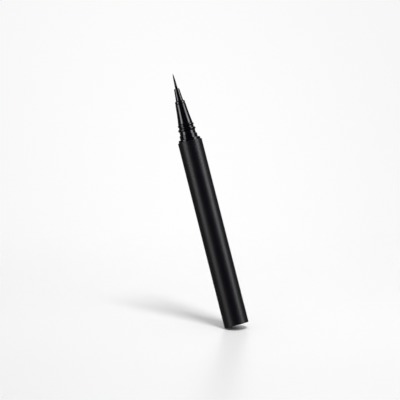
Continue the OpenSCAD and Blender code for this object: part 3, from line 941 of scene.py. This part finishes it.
# %% [markdown]
# ## Floor
#
# The pen rests on one edge of its foot on a plain white table. The floor is tilted under the upright
# model by the same lean as the camera, and the camera looks down on it at a shallow angle. Its height
# isn't guessed: the lowest point of the barrel along the floor's normal decides it.
#
# The white is painted by place, a little greyer to the sides and towards the front, where the light of a
# studio falls off. Near its edges the floor fades into the background, which is as white. A curved
# backdrop would do without the fade, but it would stand in the way of the views from behind.
#
# The fade is a speckle, finer than a pixel. A plain mix with a transparent surface would show a faint
# line where the noise filter stops taking the surface for a floor.
#
# Seen from below, the floor lets the camera look through, so that the pen can be viewed from any side.

# %% Lay the floor
LOOK_DOWN = math.radians(10)
FLOOR_BACK = 95 * PIXEL / math.sin(LOOK_DOWN)
FLOOR_FRONT = 0.26
FLOOR_HALF_WIDTH = 0.3
floor_up = picture_up * math.cos(LOOK_DOWN) + to_camera * math.sin(LOOK_DOWN)
floor_away = picture_up * math.sin(LOOK_DOWN) - to_camera * math.cos(LOOK_DOWN)
contact = min((vertex.co for vertex in barrel.data.vertices), key=lambda co: co.dot(floor_up))

sheet = bmesh.new()
bmesh.ops.create_grid(sheet, x_segments=8, y_segments=8, size=0.5)
bmesh.ops.scale(sheet, vec=(2 * FLOOR_HALF_WIDTH, FLOOR_BACK + FLOOR_FRONT, 1), verts=sheet.verts)
bmesh.ops.translate(sheet, vec=(0, (FLOOR_BACK - FLOOR_FRONT) / 2, 0), verts=sheet.verts)
floor_axes = Matrix((picture_right, floor_away, floor_up)).transposed().to_4x4()
bmesh.ops.transform(sheet, matrix=Matrix.Translation(contact) @ floor_axes, verts=sheet.verts)
floor_mesh = bpy.data.meshes.new("floor")
sheet.to_mesh(floor_mesh)
sheet.free()
floor = bpy.data.objects.new("floor", floor_mesh)
bpy.context.scene.collection.objects.link(floor)
print("contact point in mm:", [round(c / MM, 2) for c in contact])

# %% Paint the floor
FLOOR_WHITE = 0.965
FLOOR_SIDE = 0.905
WHITEST_PLACE = 0.01
SIDE_FALL = (0.02, 0.13)
FRONT_SHARE = 0.925
FRONT_RISE = (-0.12, 0.03)
floor_white = bpy.data.materials.new("floor_white")
floor_white.use_nodes = True
tree = floor_white.node_tree
tree.nodes.clear()
where = add_node(tree, "NewGeometry").outputs["Position"]
sideways = distance_along(tree, where, picture_right)
away = distance_along(tree, where, floor_away)
off_centre = calculate(tree, "ABSOLUTE", calculate(tree, "SUBTRACT", sideways, WHITEST_PLACE))
white = spread(tree, off_centre, *SIDE_FALL, FLOOR_WHITE, FLOOR_SIDE)
white = calculate(tree, "MULTIPLY", white, spread(tree, away, *FRONT_RISE, FRONT_SHARE, 1.0))
paint = add_node(tree, "BsdfPrincipled", {"Base Color": white, "Roughness": 0.36})
paint.inputs["Specular IOR Level"].default_value = 0.58
print("floor colour:", floor_white.name)

# %% Fade the floor
BACK_FADE = 0.24
EDGE_FADE = 0.15
nothing = add_node(tree, "BsdfTransparent")
far_edge = contact.dot(floor_away) + FLOOR_BACK
near_edge = contact.dot(floor_away) - FLOOR_FRONT
side_edge = FLOOR_HALF_WIDTH - WHITEST_PLACE
far_faded = spread(tree, away, far_edge - BACK_FADE, far_edge)
near_faded = spread(tree, away, near_edge, near_edge + EDGE_FADE, 1.0, 0.0)
side_faded = spread(tree, off_centre, side_edge - EDGE_FADE, side_edge)
faded = calculate(tree, "MAXIMUM", far_faded, calculate(tree, "MAXIMUM", near_faded, side_faded))
speckle = add_node(tree, "TexWhiteNoise", {"Vector": where}).outputs["Value"]
gone = calculate(tree, "GREATER_THAN", faded, speckle)
from_below = add_node(tree, "NewGeometry").outputs["Backfacing"]
seen = add_node(tree, "LightPath").outputs["Is Camera Ray"]
through = calculate(tree, "MULTIPLY", calculate(tree, "MAXIMUM", from_below, gone), seen)
surface = add_node(tree, "MixShader", {0: through, 1: paint.outputs[0], 2: nothing.outputs[0]})
add_node(tree, "OutputMaterial", {"Surface": surface.outputs[0]})
floor_mesh.materials.append(floor_white)
floor.visible_glossy = False
floor.visible_shadow = False
print("floor fades over", BACK_FADE, "m at the back and", EDGE_FADE, "m elsewhere")

# %% [markdown]
# ## Light
#
# A black pen on a white ground is lit like a bottle. A tall softbox strip on each side draws the two bands
# along its length. The strips only show in the shine and leave the floor alone, so the bands and the
# shadow can be set one by one. A strip's brightness changes with height, because the barrel, the collar
# and the cone each mirror another height of it, and its sides are soft, so the bands are soft too.
#
# The strips reach below the floor, so the floor is hidden from the shine and throws no shadow. A third,
# low card on the left is what the undersides of the lip and the beads mirror.
#
# A square lamp above, in front and to the right throws the soft shadow to the left and back.

# %% Soft lamps
SOFT_FROM = 0.2


def softbox(name, place, aim, upright, width, height, brightness):
    """A rectangular lamp. Its brightness is what the camera would see of it in a mirror."""
    lamp_data = bpy.data.lights.new(name, "AREA")
    lamp_data.shape = "RECTANGLE"
    lamp_data.size = width
    lamp_data.size_y = height
    lamp_data.energy = 4 * width * height * brightness
    back = (place - aim).normalized()
    side = upright.cross(back).normalized()
    lamp = bpy.data.objects.new(name, lamp_data)
    turned = Matrix((side, back.cross(side), back)).transposed().to_4x4()
    lamp.matrix_world = Matrix.Translation(place) @ turned
    lamp.visible_camera = False
    bpy.context.scene.collection.objects.link(lamp)
    print(name, "watts:", round(lamp_data.energy, 2))
    return lamp


def shade_lamp(lamp, low, high, stops):
    """Dims a lamp towards its two sides, and changes it with height by stops of height and share."""
    lamp.data.use_nodes = True
    tree = lamp.data.node_tree
    geometry = add_node(tree, "NewGeometry").outputs
    across = add_node(tree, "SeparateXYZ", {0: geometry["Parametric"]}).outputs["X"]
    off_middle = calculate(tree, "ABSOLUTE", calculate(tree, "SUBTRACT", across, 0.5))
    soft_sides = spread(tree, off_middle, SOFT_FROM, 0.5, 1.0, 0.0)
    height = add_node(tree, "SeparateXYZ", {0: geometry["Position"]}).outputs["Z"]
    place = add_node(tree, "MapRange", {"Value": height, "From Min": low, "From Max": high}).outputs[0]
    ramp = add_node(tree, "ValToRGB", {0: place})
    elements = ramp.color_ramp.elements
    while len(elements) < len(stops):
        elements.new(0.5)
    for element, (z, share) in zip(elements, stops):
        element.position = (z - low) / (high - low)
        element.color = (share, share, share, 1.0)
    share = calculate(tree, "MULTIPLY", ramp.outputs[0], soft_sides)
    feed(tree, tree.nodes["Emission"].inputs["Strength"], share)


# %% Strips beside the pen
STRIP_DISTANCE = 1.5
STRIP_PIVOT = 0.15


def side_strip(name, azimuth, width, lean, brightness, stops):
    """A strip at one side of the pen, from its first to its last stop, with its top leaned sideways."""
    low = stops[0][0]
    high = stops[-1][0]
    heading = math.radians(azimuth)
    outward = Vector((math.sin(heading), -math.cos(heading), 0))
    along = Vector((math.cos(heading), math.sin(heading), 0))
    half_height = (high - low) / 2
    shift = (low + half_height - STRIP_PIVOT) * math.tan(lean)
    middle = Vector((0, 0, low + half_height)) + along * shift
    upright = Vector((0, 0, 1)) * math.cos(lean) + along * math.sin(lean)
    place = outward * STRIP_DISTANCE + middle
    lamp = softbox(name, place, middle, upright, width, 2 * half_height, brightness)
    lamp.visible_diffuse = False
    shade_lamp(lamp, low, high, stops)


# %% Hang the lamps
PEN_MIDDLE = Vector((0, 0, 55)) * MM
TIP_OVER_FLOOR = 245 * PIXEL
SHADOW_LEFT = 57 * PIXEL
SHADOW_BACK = 114 * PIXEL
KEY_DISTANCE = 2.4
KEY_SIDE = 0.66
KEY_BRIGHTNESS = 22.6
RIGHT_LEAN = math.radians(25)
LEFT_LEAN = math.radians(-4)
RIGHT_STOPS = (
    (-0.2, 1.0), (0.03, 0.92), (0.13, 0.48), (0.34, 0.8), (0.48, 1.0), (1.62, 0.6), (3.4, 0.4),
)
LEFT_STOPS = (
    (-0.02, 0.0), (0.06, 0.12), (0.13, 0.46), (0.34, 0.85), (0.75, 1.0), (1.1, 0.3), (1.5, 0.0),
)
CARD_STOPS = ((-1.9, 1.0), (-0.7, 1.0))
to_key = picture_right * SHADOW_LEFT - floor_away * SHADOW_BACK + floor_up * TIP_OVER_FLOOR
key_place = PEN_MIDDLE + to_key.normalized() * KEY_DISTANCE
key = softbox("key", key_place, PEN_MIDDLE, floor_up, KEY_SIDE, KEY_SIDE, KEY_BRIGHTNESS)
key.visible_glossy = False
side_strip("right_strip", azimuth=64.5, width=1.05, lean=RIGHT_LEAN, brightness=5.4, stops=RIGHT_STOPS)
side_strip("left_strip", azimuth=-56, width=1.05, lean=LEFT_LEAN, brightness=5.7, stops=LEFT_STOPS)
side_strip("left_card", azimuth=-70, width=1.2, lean=0, brightness=2.2, stops=CARD_STOPS)

# %% [markdown]
# ## Background and room
#
# The camera sees a white ground with slightly greyer corners, also through clear plastic. The shine sees a
# dark room instead, a little lighter behind the pen, and the white ground only where it mirrors what lies
# behind and above. A white room all round would be simpler, but it would turn a glossy black pen grey.
# Everything else gets a plain fill. The world isn't sampled as a lamp, because its brightness depends
# on the kind of ray.

# %% Paint the background and the room
GROUND = 0.99
# The greyer corners of the background are painted shade.
GROUND_CORNER_SHADE = 0.925
CORNER_REACH = 0.12
CORNER_SHAPE = (1.0, 0.0, 0.6)
FILL = 0.5
MIRRORED_GROUND = (0.93, 0.97)
ROOM_FRONT = 0.012
ROOM_BACK = 0.1
ROOM_TURN = (-0.2, 0.5)
world = bpy.data.worlds.new("studio")
bpy.context.scene.world = world
world.use_nodes = True
world.cycles.sampling_method = "NONE"
tree = world.node_tree
tree.nodes.clear()
rays = add_node(tree, "LightPath").outputs
direction = add_node(tree, "TexCoord").outputs["Generated"]
shaped = add_node(tree, "VectorMath", {0: direction, 1: CORNER_SHAPE}, operation="MULTIPLY").outputs[0]
off_centre = add_node(tree, "VectorMath", {0: shaped}, operation="LENGTH").outputs["Value"]
ground = spread(tree, off_centre, 0.0, CORNER_REACH, GROUND, GROUND_CORNER_SHADE)
up_behind = (floor_away * math.cos(LOOK_DOWN) + floor_up * math.sin(LOOK_DOWN)).normalized()
near_ground = spread(tree, distance_along(tree, direction, up_behind), *MIRRORED_GROUND)
mirrored = calculate(tree, "MULTIPLY", rays["Is Glossy Ray"], near_ground)
direct = calculate(tree, "MAXIMUM", rays["Is Camera Ray"], rays["Is Transmission Ray"])
direct = calculate(tree, "MAXIMUM", direct, mirrored)
behind = distance_along(tree, direction, (0.0, 1.0, 0.0))
room = spread(tree, behind, *ROOM_TURN, ROOM_FRONT, ROOM_BACK)
other = spread(tree, rays["Is Glossy Ray"], 0.0, 1.0, FILL, room)
strength = spread(tree, direct, 0.0, 1.0, other, ground)
sky = add_node(tree, "Background", {"Color": (1.0, 1.0, 1.0, 1.0), "Strength": strength})
add_node(tree, "OutputWorld", {"Surface": sky.outputs[0]})
print("world:", world.name)
